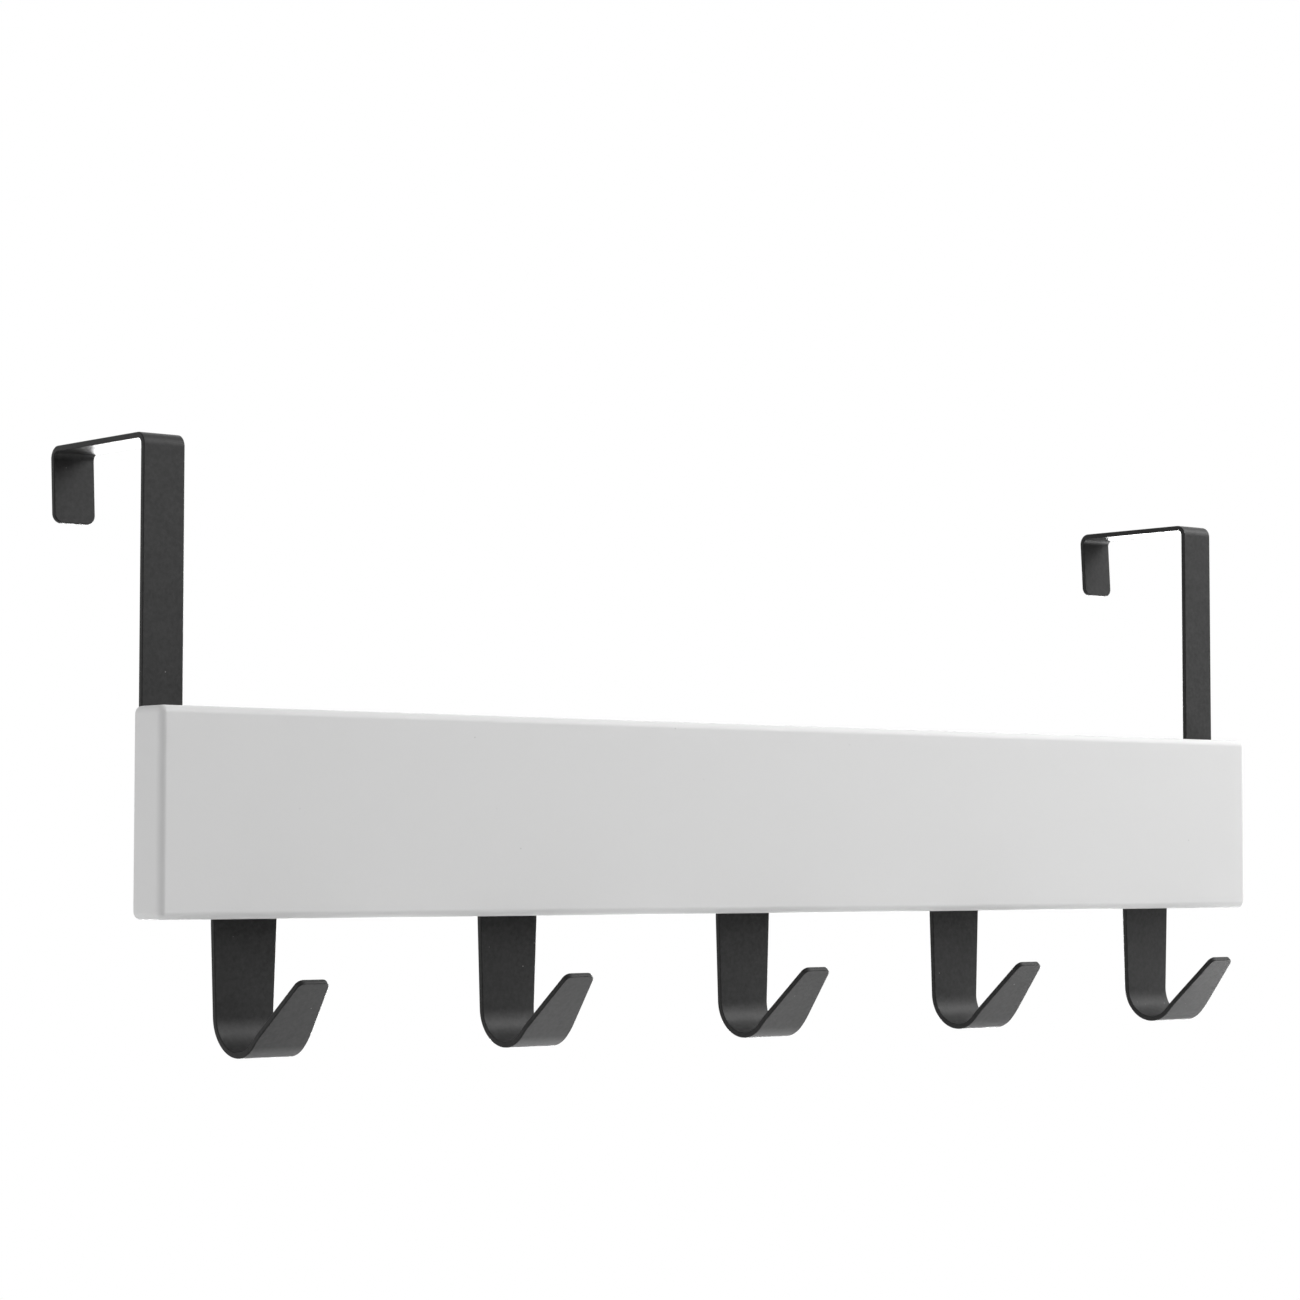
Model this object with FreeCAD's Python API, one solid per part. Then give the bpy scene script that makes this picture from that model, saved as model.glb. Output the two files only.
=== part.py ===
"""Over-door hook rail: a painted board with flat steel hooks, hung from a door's edge by two bent brackets.

Millimetres. +X runs along the board, +Y goes through the door to its far side and +Z is up.
The origin lies midway between the two brackets, on the door's top edge, in the plane of its near face.
"""
import FreeCAD, Part
import math
import os

from FreeCAD import Vector

# Flat steel that the brackets and the hooks are bent from
strip_thickness = 1.5
strip_corner_radius = 2.5

# Board
board_length = 400.0
board_height = 52.5
board_thickness = 12.0
board_edge_radius = 2.0

# Door brackets, each bent from one strip
strap_width = 12.0
door_gap = 42.0
drop_length = 66.8
leg_length = 44.0
bracket_bend_radius = 1.7
flange_length = 16.5
flange_lean = 3.2
bracket_inset = 2.0

# Hooks, each cut from a flat tapered blank and bent
hook_count = 5
hook_from_end = 33.0
hook_width = 19.0
hook_plate_length = 38.0
hook_drop = 24.6
shank_taper = 0.07
hook_bend_radius = 8.4
hook_bend_angle = 136.0
hook_narrowing = 3.2
lip_length = 22.2
lip_shoulder = 2.6
lip_shoulder_radius = 30.0
lip_tip_width = 9.0
lip_tip_radius = 2.0

# Countersunk screws and their holes
screw_length = 10.0
screw_shank_radius = 1.3
screw_head_radius = 2.8
screw_head_sink = 0.1
seat_clearance = 0.05
shank_clearance = 0.1
pilot_clearance = 0.17
pilot_spare_depth = 0.3
hole_from_end = 8.0
hole_from_board_edge = 10.0

# How near two distances (mm) or directions (degrees) must be to count as the same
same_length = 0.1
same_angle = 1.0

# Places that follow from the sizes
ALONG = Vector(1, 0, 0)
door_face_y = 0.0
door_top_z = 0.0
board_top_z = door_top_z - drop_length
board_bottom_z = board_top_z - board_height
leg_end_z = board_top_z - leg_length
plate_end_z = board_bottom_z + hook_plate_length
bracket_x = board_length / 2 - bracket_inset - strap_width / 2
bracket_xs = [-bracket_x, bracket_x]
hook_pitch = (board_length - 2 * hook_from_end) / (hook_count - 1)
hook_xs = [hook_from_end - board_length / 2 + hook_pitch * i for i in range(hook_count)]
leg_hole_zs = [leg_end_z + hole_from_end, board_top_z - hole_from_board_edge]
plate_hole_zs = [plate_end_z - hole_from_end, board_bottom_z + hole_from_board_edge]


def run(place, length):
    """Walk straight along a strip's inside face. A place is a point, its heading and the inward side."""
    point, heading, inward = place
    return point + heading * length, heading, inward


def bend(place, radius, degrees):
    """Walk round a bend of the strip, which turns towards its inward side."""
    point, heading, inward = place
    angle = math.radians(degrees)
    turned = heading * math.cos(angle) + inward * math.sin(angle)
    turned_inward = inward * math.cos(angle) - heading * math.sin(angle)
    return point + inward * radius - turned_inward * radius, turned, turned_inward


def outside(place, thickness):
    """The point on the outside face of the strip, across its thickness from a place."""
    point, _, inward = place
    return point - inward * thickness


def bent_strip(place, steps, thickness, width):
    """A strip of even width, centred on the first place, from runs (length) and bends (radius, degrees)."""
    inner, outer, first = [], [], place
    for step in steps:
        if len(step) == 1:
            after = run(place, *step)
            inner.append(Part.makeLine(place[0], after[0]))
            outer.append(Part.makeLine(outside(place, thickness), outside(after, thickness)))
        else:
            radius, degrees = step
            middle, after = bend(place, radius, degrees / 2), bend(place, radius, degrees)
            inner.append(Part.Arc(place[0], middle[0], after[0]).toShape())
            points = [outside(p, thickness) for p in (place, middle, after)]
            outer.append(Part.Arc(*points).toShape())
        place = after
    ends = [Part.makeLine(p[0], outside(p, thickness)) for p in (first, place)]
    side = Part.Face(Part.Wire(Part.__sortEdges__(inner + outer + ends)))
    side.translate(ALONG * (-width / 2))
    return side.extrude(ALONG * width), place


def mirrored(right_side):
    """A closed outline, symmetric across the strip, from the points (across, along) of its right side."""
    return right_side + [(-across, along) for across, along in reversed(right_side)]


def flat_blank(place, outline, thickness):
    """A flat piece of strip whose outline has points (across, along) from a place on its inside face."""
    point, heading, inward = place
    corners = [point + ALONG * across + heading * along for across, along in outline]
    return Part.Face(Part.makePolygon(corners + corners[:1])).extrude(inward * -thickness)


def parallel(one, other):
    """Whether two directions lie along the same line, either way round."""
    angle = math.degrees(one.getAngle(other))
    return min(angle, 180 - angle) < same_angle


def corner_edges(shape, place, low, high):
    """The edges through a flat strip's thickness that lie between two distances along it from a place."""
    point, heading, inward = place
    found = []
    for edge in shape.Edges:
        across = edge.Vertexes[-1].Point - edge.Vertexes[0].Point
        along = (edge.CenterOfMass - point).dot(heading)
        if across.Length > 0 and parallel(across, inward) and low - same_length < along < high + same_length:
            found.append(edge)
    return found


def turned_solid(profile, x, z):
    """A solid turned about the line through (x, z) along Y, from points (radius, depth from door face)."""
    points = [Vector(radius, door_face_y - depth, 0) for radius, depth in profile]
    solid = Part.Face(Part.makePolygon(points + points[:1])).revolve(Vector(0, 0, 0), Vector(0, 1, 0), 360)
    solid.translate(Vector(x, 0, z))
    return solid


def screw_hole(x, z, radius):
    """The countersunk hole for a screw, from the door side to past its end, as the solid to cut away."""
    mouth = screw_head_radius + screw_head_sink + seat_clearance
    proud = strip_thickness / 2
    bottom = screw_head_sink + screw_length + pilot_spare_depth
    profile = [
        (0, -proud),
        (mouth + proud, -proud),
        (radius, mouth - radius),
        (radius, bottom),
        (0, bottom),
    ]
    return turned_solid(profile, x, z)


def make_screw(x, z):
    """One flat-head screw, its head just below the strip's door side and its end in the board."""
    top = screw_head_sink
    neck = top + screw_head_radius - screw_shank_radius
    end = top + screw_length
    profile = [
        (0, top),
        (screw_head_radius, top),
        (screw_shank_radius, neck),
        (screw_shank_radius, end),
        (0, end),
    ]
    return turned_solid(profile, x, z)


def make_bracket(x):
    """One door bracket: leg and drop strap, top strap over the door, and a flange that leans in a little."""
    start = (Vector(x, door_face_y, leg_end_z), Vector(0, 0, 1), Vector(0, 1, 0))
    steps = [
        (door_top_z - bracket_bend_radius - leg_end_z,),
        (bracket_bend_radius, 90.0),
        (door_gap - 2 * bracket_bend_radius,),
        (bracket_bend_radius, 90.0 + flange_lean),
        (flange_length,),
    ]
    bracket, end = bent_strip(start, steps, strip_thickness, strap_width)
    corners = corner_edges(bracket, start, 0, 0) + corner_edges(bracket, end, 0, 0)
    bracket = bracket.makeFillet(strip_corner_radius, corners)
    radius = screw_shank_radius + shank_clearance
    return bracket.cut([screw_hole(x, z, radius) for z in leg_hole_zs])


def taper_cutters(place, width, loss_along, loss_inward):
    """Two blocks with a strip between them, which trim its sides. From the given width at a place, the strip
    loses loss_along for each mm along the heading and loss_inward for each mm towards the inward side, so
    the taper goes on round a bend.
    """
    point, heading, inward = place
    reach = board_length
    blocks = []
    for side in (-1, 1):
        corners = []
        for along, across in ((0, -reach), (0, reach), (reach, reach), (reach, -reach)):
            half = (width - loss_along * along - loss_inward * across) / 2
            corners.append(point + heading * along + inward * across + ALONG * side * half)
        wall = Part.Face(Part.makePolygon(corners + corners[:1]))
        blocks.append(wall.extrude(ALONG * side * reach))
    return blocks


def make_hook(x):
    """One hook: a plate behind the board, a tapering shank, a J bend and a lip that narrows to its tip."""
    edge = (Vector(x, door_face_y - strip_thickness, board_bottom_z), Vector(0, 0, -1), Vector(0, -1, 0))
    start = run(edge, -hook_plate_length)
    steps = [
        (hook_plate_length + hook_drop,),
        (hook_bend_radius, hook_bend_angle),
    ]
    strip, root = bent_strip(start, steps, strip_thickness, hook_width)
    strip = strip.makeFillet(strip_corner_radius, corner_edges(strip, start, 0, 0))

    root_width = hook_width - hook_narrowing
    right_side = [
        (root_width / 2, 0),
        ((root_width - shank_taper * lip_shoulder) / 2, lip_shoulder),
        (lip_tip_width / 2, lip_length),
    ]
    lip = flat_blank(root, mirrored(right_side), strip_thickness)
    lip = lip.makeFillet(lip_tip_radius, corner_edges(lip, root, lip_length, lip_length))
    lip = lip.makeFillet(lip_shoulder_radius, corner_edges(lip, root, lip_shoulder, lip_shoulder))

    down = (root[0] - edge[0]).dot(edge[1])
    forward = (root[0] - edge[0]).dot(edge[2])
    loss_forward = (hook_narrowing - shank_taper * down) / forward
    hook = strip.fuse(lip).cut(taper_cutters(edge, hook_width, shank_taper, loss_forward))
    hook = hook.removeSplitter().Solids[0]
    radius = screw_shank_radius + shank_clearance
    return hook.cut([screw_hole(x, z, radius) for z in plate_hole_zs])


def make_board():
    """The rail: a board, rounded on its ends and all round its front, with a pilot hole for each screw."""
    back_y = door_face_y - strip_thickness
    corner = Vector(-board_length / 2, back_y - board_thickness, board_bottom_z)
    board = Part.makeBox(board_length, board_thickness, board_height, corner)
    rounded = [edge for edge in board.Edges if abs(edge.CenterOfMass.y - back_y) > same_length]
    board = board.makeFillet(board_edge_radius, rounded)
    radius = screw_shank_radius + pilot_clearance
    return board.cut([screw_hole(x, z, radius) for x, z in screw_places])


screw_places = [(x, z) for x in bracket_xs for z in leg_hole_zs]
screw_places += [(x, z) for x in hook_xs for z in plate_hole_zs]

parts = {"board": make_board()}
for side, x in zip(("left", "right"), bracket_xs):
    parts["bracket_" + side] = make_bracket(x)
for number, x in enumerate(hook_xs, 1):
    parts["hook_" + str(number)] = make_hook(x)
parts["screws"] = Part.makeCompound([make_screw(x, z) for x, z in screw_places])

os.makedirs("parts", exist_ok=True)
for name, shape in parts.items():
    shape.exportStep("parts/" + name + ".step")
    box = shape.BoundBox
    corners = [round(v, 2) for v in (box.XMin, box.YMin, box.ZMin, box.XMax, box.YMax, box.ZMax)]
    print(name, len(shape.Solids), "solids", shape.isValid(), round(shape.Volume, 1), "mm3", corners)
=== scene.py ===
# %% [markdown]
# # An over-door hook rail
#
# The rail is a flat board, painted pale grey, that hangs over the top of a door on two bent steel
# straps. Five flat steel hooks come out from under it. The straps and the hooks share one black powder
# coat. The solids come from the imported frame, at their real size in metres. This lesson gives each of
# them the finish that the real one has, and then lights and films them as a product photograph would.

import math

import bmesh
import bpy
from mathutils import Euler, Matrix, Vector


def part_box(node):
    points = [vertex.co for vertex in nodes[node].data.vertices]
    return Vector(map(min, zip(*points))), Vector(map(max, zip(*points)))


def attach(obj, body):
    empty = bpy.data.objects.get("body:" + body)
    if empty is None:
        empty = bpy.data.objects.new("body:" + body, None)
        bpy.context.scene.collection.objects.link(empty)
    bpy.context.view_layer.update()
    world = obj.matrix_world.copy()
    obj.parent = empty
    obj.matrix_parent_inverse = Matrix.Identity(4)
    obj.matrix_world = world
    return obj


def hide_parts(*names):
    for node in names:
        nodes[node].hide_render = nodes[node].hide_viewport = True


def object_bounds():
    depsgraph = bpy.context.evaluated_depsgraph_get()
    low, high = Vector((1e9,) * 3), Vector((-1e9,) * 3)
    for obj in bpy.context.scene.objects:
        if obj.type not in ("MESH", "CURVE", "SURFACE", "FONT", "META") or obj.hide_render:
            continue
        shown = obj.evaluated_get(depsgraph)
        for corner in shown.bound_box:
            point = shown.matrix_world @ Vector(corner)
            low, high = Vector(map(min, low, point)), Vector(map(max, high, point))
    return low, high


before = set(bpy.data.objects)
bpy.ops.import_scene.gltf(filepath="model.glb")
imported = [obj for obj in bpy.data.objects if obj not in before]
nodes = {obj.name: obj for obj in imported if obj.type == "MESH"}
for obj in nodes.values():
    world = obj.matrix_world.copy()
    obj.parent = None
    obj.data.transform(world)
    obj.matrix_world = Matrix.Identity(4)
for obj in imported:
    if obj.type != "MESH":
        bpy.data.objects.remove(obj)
cad_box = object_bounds()
MM = 0.001
hook_names = sorted(name for name in nodes if name.startswith("hook_"))
bracket_names = sorted(name for name in nodes if name.startswith("bracket_"))
print("pieces in the frame:", sorted(nodes))

# %% [markdown]
# ## The camera comes first
#
# Every choice below is judged from where the photograph was taken, so the camera is set before the
# finishes. The picture is square. The lens is long, about 100 mm, which keeps the rail's edges nearly
# parallel, and the camera stands to the left of the rail and looks up at it a little.

# %% Camera
camera_data = bpy.data.cameras.new("camera")
camera_data.sensor_width = 36.0
camera_data.lens = 98.66
camera_data.clip_start = 0.05
camera = bpy.data.objects.new("camera", camera_data)
camera.location = (-0.66492, -0.75501, -0.10525)
turn_right = 0.69664
look_up = 0.05957
roll = -0.0005
camera.rotation_euler = Euler((math.pi / 2 + look_up, roll, -turn_right))
bpy.context.scene.collection.objects.link(camera)
bpy.context.scene.camera = camera
board_low, board_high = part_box("board")
board_middle = (board_low + board_high) / 2
print("camera to the board's middle:", round((camera.location - board_middle).length, 3), "m")

# %% [markdown]
# ## Shader sums written as Python
#
# A finish is a small sum: a pattern, scaled, cut off and added to another. In the node editor each step
# is a Math node. Here one class wraps a socket and takes Python's operators, so that the sum can be
# written and read as one line. Sums on plain numbers stay in Python and add no node.

# %% Sockets as numbers
class Wire:
    """An output socket that can be used in a sum."""

    def __init__(self, graph, socket):
        self.graph = graph
        self.socket = socket

    def math(self, operation, *values):
        """The result of a Math node on these values."""
        return self.graph.node("ShaderNodeMath", {"operation": operation}, dict(enumerate(values)))

    def __add__(self, other):
        return self.math("ADD", self, other)

    __radd__ = __add__

    def __mul__(self, other):
        return self.math("MULTIPLY", self, other)

    __rmul__ = __mul__

    def __sub__(self, other):
        return self.math("SUBTRACT", self, other)

    def __rsub__(self, other):
        return self.math("SUBTRACT", other, self)

    def __gt__(self, other):
        return self.math("GREATER_THAN", self, other)

    def __lt__(self, other):
        return self.math("LESS_THAN", self, other)


# %% [markdown]
# ## One way to make a node
#
# Every node comes from one method: its settings are set first, because some of them change which
# sockets a node has, and then its sockets get values or wires. The world and the materials share it.
# They share one question too: does a ray show the surface to the camera, straight or by way of a gloss
# or of glass, or does it only carry light from it to other surfaces?

# %% Graph
class Graph:
    """The nodes of a material or of the world."""

    def __init__(self, tree, output):
        self.nodes = tree.nodes
        self.links = tree.links
        self.nodes.clear()
        self.surface = self.nodes.new(output).inputs["Surface"]

    def node(self, kind, settings=None, inputs=None, output=0):
        """A new node with its settings, then its inputs, as a wire from the named or numbered output."""
        made = self.nodes.new(kind)
        for name, value in (settings or {}).items():
            setattr(made, name, value)
        for name, value in (inputs or {}).items():
            self.plug(made.inputs[name], value)
        return Wire(self, made.outputs[output])

    def plug(self, socket, value):
        """Put a number, a colour or a wire into a socket."""
        if isinstance(value, Wire):
            self.links.new(value.socket, socket)
        else:
            socket.default_value = value

    def ray(self, kind):
        """1 for rays of this kind and 0 for others."""
        return self.node("ShaderNodeLightPath", output=f"Is {kind} Ray")

    def seen(self):
        """1 for rays that show the surface to the camera, and 0 for those that only carry its light."""
        found = self.ray("Camera")
        for kind in ("Glossy", "Transmission"):
            found = found.math("MAXIMUM", found, self.ray(kind))
        return found


# %% [markdown]
# ## A finish is a material
#
# Each finish starts from the Principled shader, whose sockets take the numbers that are the same all
# over the surface. Patterns are made in the piece's own space, so they keep their real size in
# millimetres, and each pattern runs from 0 to 1.

# %% Finishes
class Finish(Graph):
    """A material that is built up node by node."""

    def __init__(self, name, **constants):
        self.material = bpy.data.materials.get(name) or bpy.data.materials.new(name)
        self.material.use_nodes = True
        super().__init__(self.material.node_tree, "ShaderNodeOutputMaterial")
        self.shader = self.nodes.new("ShaderNodeBsdfPrincipled")
        self.links.new(self.shader.outputs[0], self.surface)
        self.place = self.node("ShaderNodeTexCoord", output="Object")
        self.shade(**constants)

    def shade(self, **inputs):
        """Give sockets of the shader a number or a wire. A socket's name is written with underscores."""
        for socket, value in inputs.items():
            self.plug(self.shader.inputs[socket.replace("_", " ")], value)

    def noise(self, size, detail=2.0, roughness=0.5):
        """Noise from 0 to 1 whose bumps are about this many metres across."""
        inputs = {"Vector": self.place, "Scale": 1 / size, "Detail": detail, "Roughness": roughness}
        return self.node("ShaderNodeTexNoise", {"noise_dimensions": "3D"}, inputs)

    def specks(self, spacing, radius, share):
        """1 on round specks of this radius, in this share of cells of this spacing, and 0 elsewhere."""
        settings = {"feature": "F1", "distance": "EUCLIDEAN"}
        inputs = {"Vector": self.place, "Scale": 1 / spacing}
        distance = self.node("ShaderNodeTexVoronoi", settings, inputs, "Distance")
        cell = self.node("ShaderNodeTexVoronoi", settings, inputs, "Color")
        return (distance < radius / spacing) * (self.channel(cell) < share)

    def channel(self, colour):
        """The red channel of a colour, as a number."""
        return self.node("ShaderNodeSeparateColor", inputs={0: colour})

    def blend(self, factor, first, second):
        """A colour that goes from the first to the second as the factor goes from 0 to 1."""
        inputs = {0: factor, 6: first, 7: second}
        return self.node("ShaderNodeMix", {"data_type": "RGBA"}, inputs, output=2)

    def bump(self, height, metres):
        """Let a pattern from 0 to 1 stand this many metres proud of the surface."""
        return self.node("ShaderNodeBump", inputs={"Height": height, "Distance": metres, "Strength": 1.0})


def grey(value):
    """A neutral colour."""
    return (value, value, value, 1.0)


# %% [markdown]
# ## The board's paint
#
# The board is fibreboard under a satin, pale grey paint, rolled or sprayed on. Up close such paint
# has three things: a very fine stipple, a soft mottle in its gloss where the coat is thicker or
# thinner, and a dust speck here and there. None of them is strong. The colour itself is nearly even, so
# the stipple is bump and the mottle mostly roughness, and only the specks are darker.

# %% Board paint
def make_board_paint():
    paint = Finish("board_paint", Specular_IOR_Level=0.14)
    mottle = paint.noise(45 * MM, detail=3.0)
    stipple = paint.noise(0.9 * MM, detail=3.0)
    specks = paint.specks(spacing=9 * MM, radius=0.18 * MM, share=0.45)
    tone = 0.985 + 0.03 * mottle
    pale = paint.blend(tone, grey(0.55), grey(0.62))
    paint.shade(
        Base_Color=paint.blend(specks * 0.45, pale, grey(0.2)),
        Roughness=0.46 + 0.10 * mottle + 0.04 * stipple,
        Normal=paint.bump(stipple, 0.012 * MM),
    )
    return paint.material


board_paint = make_board_paint()
print("board paint has", len(board_paint.node_tree.nodes), "nodes")

# %% [markdown]
# ## The black powder coat
#
# Powder coat is melted on, and keeps a fine pebbled skin, about a third of a millimetre from bump to
# bump. It is satin: its highlight is wide and weak. Two weak glosses make it, a rough one in the base
# and a smoother one in the Principled shader's coat. The pebbles and a coarser grain make the black look
# faintly mottled, and small pale specks of dust sit in it.

# %% Black coat
def make_black_coat():
    coat = Finish(
        "black_coat",
        Specular_IOR_Level=0.13,
        Coat_Weight=0.5,
        Coat_Roughness=0.42,
        Coat_IOR=1.15,
    )
    pebbles = coat.noise(0.35 * MM, detail=2.0, roughness=0.6)
    grain = coat.noise(1.1 * MM, detail=2.0)
    cloud = coat.noise(7 * MM, detail=3.0)
    specks = coat.specks(spacing=4 * MM, radius=0.17 * MM, share=0.5)
    tone = 0.5 * pebbles + 1.2 * grain + 0.5 * cloud - 0.6
    black = coat.blend(tone, grey(0.003), grey(0.021))
    coat.shade(
        Base_Color=coat.blend(specks * 0.7, black, grey(0.2)),
        Roughness=0.55 + 0.12 * pebbles,
        Normal=coat.bump(pebbles, 0.018 * MM),
    )
    return coat.material


black_coat = make_black_coat()
print("black coat has", len(black_coat.node_tree.nodes), "nodes")

# %% [markdown]
# ## The screws' steel
#
# The fourteen screws are bright zinc-plated steel. Plating is smooth but not polished, and has a slight
# cloudiness, so one cloud drives both the colour and the roughness.

# %% Screw steel
def make_screw_steel():
    steel = Finish("screw_steel", Metallic=1.0)
    cloud = steel.noise(0.8 * MM, detail=3.0)
    steel.shade(
        Base_Color=steel.blend(cloud, grey(0.45), grey(0.62)),
        Roughness=0.24 + 0.16 * cloud,
    )
    return steel.material


screw_steel = make_screw_steel()
print("screw steel has", len(screw_steel.node_tree.nodes), "nodes")

# %% [markdown]
# ## Dressing the solids
#
# The solids' flat faces are cut into long triangles, and their edges are perfectly sharp. Real coated
# edges are a little round and catch a thin line of light. Four modifiers do this and leave the mesh as
# it is: Weld joins the faces' borders, Decimate takes away the lines inside a flat face, Bevel rounds
# each sharp edge, and Weighted Normal keeps the large faces flat, so that all the shading turns within
# the rounded edge.

# %% Dress
weld_gap = 0.002 * MM
flat_angle = math.radians(0.5)
sharp_angle = math.radians(35)
board_edge = 0.4 * MM
steel_edge = 0.3 * MM


def dress(name, material, edge_radius):
    """Give a solid its finish, with its sharp edges rounded."""
    piece = nodes[name]
    piece.data.materials.clear()
    piece.data.materials.append(material)
    piece.modifiers.new("weld", "WELD").merge_threshold = weld_gap
    flat = piece.modifiers.new("flat", "DECIMATE")
    flat.decimate_type = "DISSOLVE"
    flat.angle_limit = flat_angle
    bevel = piece.modifiers.new("edges", "BEVEL")
    bevel.width = edge_radius
    bevel.segments = 3
    bevel.limit_method = "ANGLE"
    bevel.angle_limit = sharp_angle
    bevel.use_clamp_overlap = False
    bevel.miter_outer = "MITER_ARC"
    piece.modifiers.new("shading", "WEIGHTED_NORMAL").keep_sharp = False


dress("board", board_paint, board_edge)
for name in bracket_names + hook_names:
    dress(name, black_coat, steel_edge)
print("dressed:", ["board"] + bracket_names + hook_names)

# %% [markdown]
# ## A screw, from outline to outline
#
# In the solids a screw is a plain pin with a flat head. Here each one gets what the real screw has: a
# cross recess that tapers as it goes down, a rim that is a little rounded, a thread and a point. Nearly
# all of that is a stack of outlines with a wall between each and the next, so four helpers are enough: a
# ring, a cross, a wall and the edges round an outline. They work in millimetres, with the head's top at
# zero, and the sizes are the solids' own: the head is 5.6 mm across and the screw is 10 mm long.

# %% Outlines and walls
head_radius = 2.8
head_depth = 1.5
neck_radius = 1.3
core_radius = 1.0
screw_length = 10.0
facets = 36


def ring(mesh, radius, depth):
    """A circle of vertices at this depth below the head's top."""
    angles = [math.tau * i / facets for i in range(facets)]
    return [mesh.verts.new((radius * math.cos(a), radius * math.sin(a), -depth)) for a in angles]


def cross(mesh, reach, half_width, depth):
    """The outline of a cross at this depth: its twelve corners in order."""
    x_steps, y_steps = (1, 0, -1, 0), (0, 1, 0, -1)
    quarter = [(reach, -half_width), (reach, half_width), (half_width, half_width)]
    corners = []
    for c, s in zip(x_steps, y_steps):
        corners += [(c * x - s * y, s * x + c * y) for x, y in quarter]
    return [mesh.verts.new((x, y, -depth)) for x, y in corners]


def wall(mesh, upper, lower):
    """Faces between two outlines of equal length."""
    for i in range(len(upper)):
        j = (i + 1) % len(upper)
        mesh.faces.new((upper[i], lower[i], lower[j], upper[j]))


def outline_edges(mesh, outline):
    """The edges round an outline, new or already there."""
    found = []
    for one, other in zip(outline, outline[1:] + outline[:1]):
        found.append(mesh.edges.get((one, other)) or mesh.edges.new((one, other)))
    return found


print("a screw of", screw_length, "mm with", facets, "sides")

# %% [markdown]
# ## The thread
#
# A wood screw's thread is a thin, sharp ridge. It could be a curve with a bevel, but a ridge of three
# points, carried round the core step by step, is as short to write and gives plain faces. It grows out
# of the core at its start and sinks back into it before the point.

# %% Thread
thread_pitch = 1.15
crest_radius = 1.42
start_radius = core_radius - 0.1
root_radius = core_radius - 0.12
root_half_width = 0.3
run_in = 1 / 6
run_out = 1 / 5
least_width = 0.2


def thread(mesh, start, end):
    """A sharp ridge that winds down round the core and runs out at both ends."""
    steps = int((end - start) / thread_pitch * facets)
    before = None
    for i in range(steps + 1):
        share = i / steps
        rise = min(1.0, share / run_in, (1 - share) / run_out)
        angle = math.tau * i / facets
        depth = start + (end - start) * share
        crest = start_radius + (crest_radius - start_radius) * rise
        half_width = root_half_width * max(rise, least_width)
        points = []
        for radius, shift in ((root_radius, -half_width), (crest, 0.0), (root_radius, half_width)):
            place = (radius * math.cos(angle), radius * math.sin(angle), -depth - shift)
            points.append(mesh.verts.new(place))
        if before:
            for k in range(3):
                other = (k + 1) % 3
                mesh.faces.new((before[k], points[k], points[other], before[other]))
        before = points


print("thread of", thread_pitch, "mm pitch")

# %% [markdown]
# ## One screw, head up
#
# The head's top face lies between the rim and the mouth of the recess, and is the one face that a wall
# can't make, so it is filled with triangles. From the rim down, every section is a ring.

# %% One screw
rim_round = 0.12
recess_mouth = {"reach": 1.55, "half_width": 0.36, "depth": 0}
recess_bottom = {"reach": 0.75, "half_width": 0.22, "depth": 1.5}
neck_length = 0.9
neck_to_core = 0.3
point_length = 2.2
point_radius = 0.1
thread_start = 2.5
thread_end = 9.1


def make_screw_mesh():
    mesh = bmesh.new()
    rim = ring(mesh, head_radius - rim_round, 0)
    mouth = cross(mesh, **recess_mouth)
    borders = outline_edges(mesh, rim) + outline_edges(mesh, mouth)
    bmesh.ops.triangle_fill(mesh, use_beauty=True, edges=borders)
    bottom = cross(mesh, **recess_bottom)
    wall(mesh, mouth, bottom)
    mesh.faces.new(bottom)
    sections = [
        (head_radius, rim_round),
        (neck_radius, head_depth),
        (neck_radius, head_depth + neck_length),
        (core_radius, head_depth + neck_length + neck_to_core),
        (core_radius, screw_length - point_length),
        (point_radius, screw_length),
    ]
    above = rim
    for radius, depth in sections:
        below = ring(mesh, radius, depth)
        wall(mesh, above, below)
        above = below
    mesh.faces.new(above)
    thread(mesh, thread_start, thread_end)
    bmesh.ops.recalc_face_normals(mesh, faces=mesh.faces)
    bmesh.ops.scale(mesh, vec=(MM, MM, MM), verts=mesh.verts)
    data = bpy.data.meshes.new("screw")
    mesh.to_mesh(data)
    mesh.free()
    data.materials.append(screw_steel)
    data.shade_smooth()
    return data


screw_mesh = make_screw_mesh()
print("one screw has", len(screw_mesh.polygons), "faces")

# %% [markdown]
# ## Fourteen screws in their places
#
# Each bracket leg and each hook plate has two screws, driven from the door side, so that their heads
# look along +Y: one near the strip's own end, and one near the edge of the board. Nobody lines up the
# crosses of wood screws, so each is turned by a different angle.

# %% Screw places
hole_from_end = 8 * MM
hole_from_board_edge = 10 * MM
head_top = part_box("screws")[1].y
places = []
for name in bracket_names:
    low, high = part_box(name)
    middle = (low.x + high.x) / 2
    places += [(middle, low.z + hole_from_end), (middle, board_high.z - hole_from_board_edge)]
for name in hook_names:
    low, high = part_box(name)
    middle = (low.x + high.x) / 2
    places += [(middle, high.z - hole_from_end), (middle, board_low.z + hole_from_board_edge)]
golden_turn = math.radians(137.5)
head_up = Matrix.Rotation(math.radians(-90), 4, "X")
for number, (x, z) in enumerate(places, 1):
    screw = bpy.data.objects.new(f"screw_{number}", screw_mesh)
    turn = Matrix.Rotation(golden_turn * number, 4, "Z")
    screw.matrix_world = Matrix.Translation((x, head_top, z)) @ head_up @ turn
    bpy.context.scene.collection.objects.link(screw)
    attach(screw, "root")
    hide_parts("screws")
print(len(places), "screws")

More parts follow.
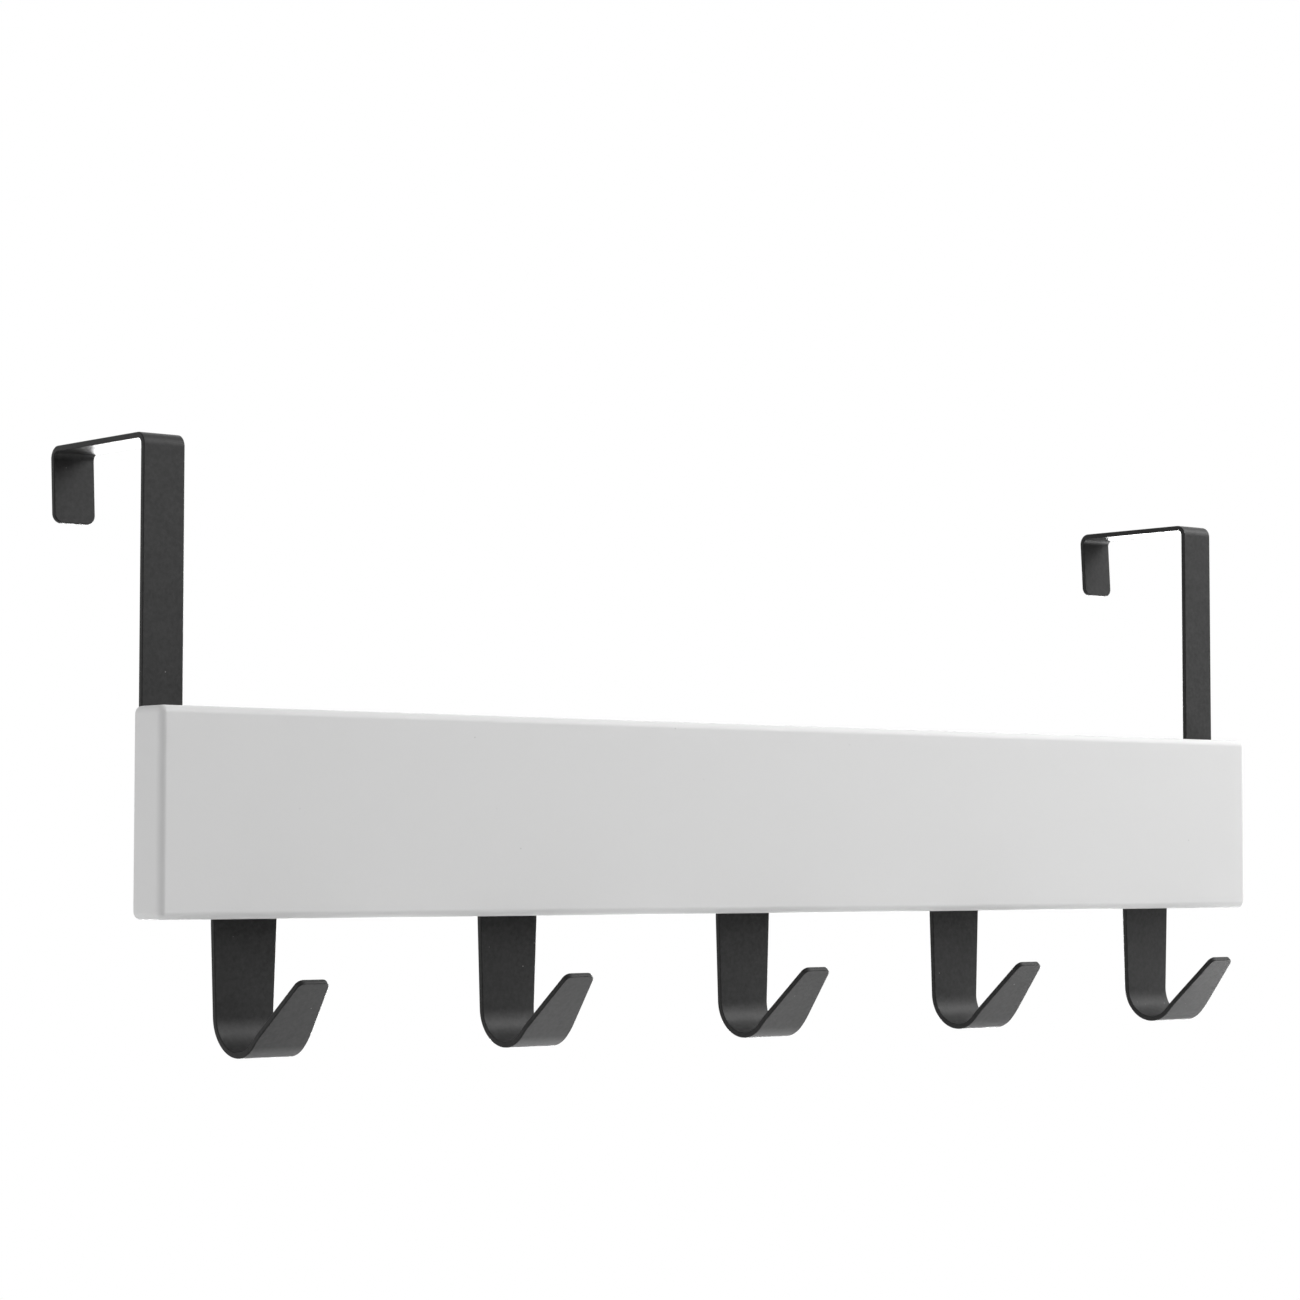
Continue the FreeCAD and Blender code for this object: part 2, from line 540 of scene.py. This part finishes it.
# %% [markdown]
# ## The floor and the world
#
# The photograph is a cut-out on pure white. The floor is a pale sheet well below the hooks. Far out it
# is simply white, and near the rail it is a matt surface that takes the rail's shadow. Reflections show
# it just as the camera does. Seen from underneath the sheet is clear. The world is white to the camera
# and in reflections, and lights the rail at half strength from all round.

# %% Floor
matt_within = 0.5
white_beyond = 1.3
matt_grey = 0.85
matt_glow = 0.1
floor_drop = 0.30
floor_half = 6.0


def make_floor_material():
    """Matt near the rail, white far out and clear from underneath."""
    material = bpy.data.materials.new("floor")
    material.use_nodes = True
    sheet = Graph(material.node_tree, "ShaderNodeOutputMaterial")
    place = sheet.node("ShaderNodeTexCoord", output="Object")
    distance = sheet.node("ShaderNodeVectorMath", {"operation": "LENGTH"}, {0: place}, "Value")
    far = sheet.node(
        "ShaderNodeMapRange",
        {"interpolation_type": "SMOOTHSTEP"},
        {"Value": distance, "From Min": matt_within, "From Max": white_beyond},
    )
    seen = sheet.seen()
    matt = sheet.node("ShaderNodeBsdfDiffuse", inputs={"Color": grey(matt_grey)})
    glow = sheet.node("ShaderNodeEmission", inputs={"Color": grey(1.0), "Strength": matt_glow * seen})
    near = sheet.node("ShaderNodeAddShader", inputs={0: matt, 1: glow})
    white = sheet.node("ShaderNodeEmission", inputs={"Color": grey(1.0), "Strength": 1.0})
    above = sheet.node("ShaderNodeMixShader", inputs={0: far * seen, 1: near, 2: white})
    clear = sheet.node("ShaderNodeBsdfTransparent")
    underneath = sheet.node("ShaderNodeNewGeometry", output="Backfacing")
    both = sheet.node("ShaderNodeMixShader", inputs={0: underneath, 1: above, 2: clear})
    sheet.plug(sheet.surface, both)
    return material


corners = [(-1, -1), (1, -1), (1, 1), (-1, 1)]
floor_mesh = bpy.data.meshes.new("floor")
floor_mesh.from_pydata([(x * floor_half, y * floor_half, 0) for x, y in corners], [], [range(4)])
floor_mesh.materials.append(make_floor_material())
floor = bpy.data.objects.new("floor", floor_mesh)
floor.location = (0, 0, cad_box[0].z - floor_drop)
bpy.context.scene.collection.objects.link(floor)
print("floor at", round(floor.location.z, 3), "m")

# %% World
soft_light = 0.5
world = bpy.data.worlds.new("world")
bpy.context.scene.world = world
world.use_nodes = True
sky = Graph(world.node_tree, "ShaderNodeOutputWorld")
strength = soft_light + (1 - soft_light) * sky.seen()
light = sky.node("ShaderNodeBackground", inputs={"Color": grey(1.0), "Strength": strength})
sky.plug(sky.surface, light)
print("world has", len(sky.nodes), "nodes")

# %% [markdown]
# ## Lamps for the board, lamps for the black
#
# The corner between the board's end and its front shows as a soft darker line, although both faces are
# bright. So the light comes from both sides: one large soft lamp to the right, which makes the board
# brighter towards that end, and one to the left, which lights the board's end. A weak third one lights
# the back.
#
# The black coat has hardly any colour to light, and what it shows is mostly gloss. So four more lamps
# are seen by gloss alone and leave the board's level almost as it is. One is high in front: it lights
# the straps and the shanks, but hardly the top of a shank, which is in the shade of the board. Two are
# below, since the hooks' lips face down: one straight under the rail, for all of the lips, and one low
# on the right, for the far ones, which are the brighter ones. The last is far behind and low. Only the
# undersides of the top straps, seen at a grazing look, catch it and turn nearly white, as in the
# photograph.

# %% Lamps
def lamp(name, bearing, height, distance, size, watts, gloss_only=False):
    """A square soft lamp that faces the board. Its bearing is in degrees to the right of the front."""
    data = bpy.data.lights.new(name, "AREA")
    data.shape = "SQUARE"
    data.size = size
    data.energy = watts
    made = bpy.data.objects.new(name, data)
    turn = math.radians(bearing)
    rise = math.radians(height)
    level = math.cos(rise)
    direction = Vector((math.sin(turn) * level, -math.cos(turn) * level, math.sin(rise)))
    made.location = board_middle + direction * distance
    made.rotation_euler = direction.to_track_quat("Z", "Y").to_euler()
    made.visible_camera = False
    made.visible_diffuse = not gloss_only
    bpy.context.scene.collection.objects.link(made)


lamp("right_lamp", bearing=60, height=40, distance=1.3, size=0.6, watts=16.8)
lamp("left_lamp", bearing=-110, height=5, distance=1.3, size=0.6, watts=3.7)
lamp("rear_lamp", bearing=130, height=40, distance=1.3, size=0.6, watts=3)
lamp("front_lamp", bearing=33, height=31, distance=1.3, size=0.9, watts=17.5, gloss_only=True)
lamp("low_lamp", bearing=90, height=-25, distance=0.8, size=0.4, watts=10, gloss_only=True)
lamp("under_lamp", bearing=90, height=-84, distance=0.36, size=0.5, watts=2.4, gloss_only=True)
lamp("far_lamp", bearing=141, height=-14, distance=1.2, size=0.8, watts=42, gloss_only=True)

# %% [markdown]
# ## Colours as written
#
# The Standard view transform shows a colour as it is written, with no film curve over it. A finish has no
# thickness, and a rounded edge only takes a little off the solids' size.

# %% Close
bpy.context.scene.view_settings.view_transform = "Standard"
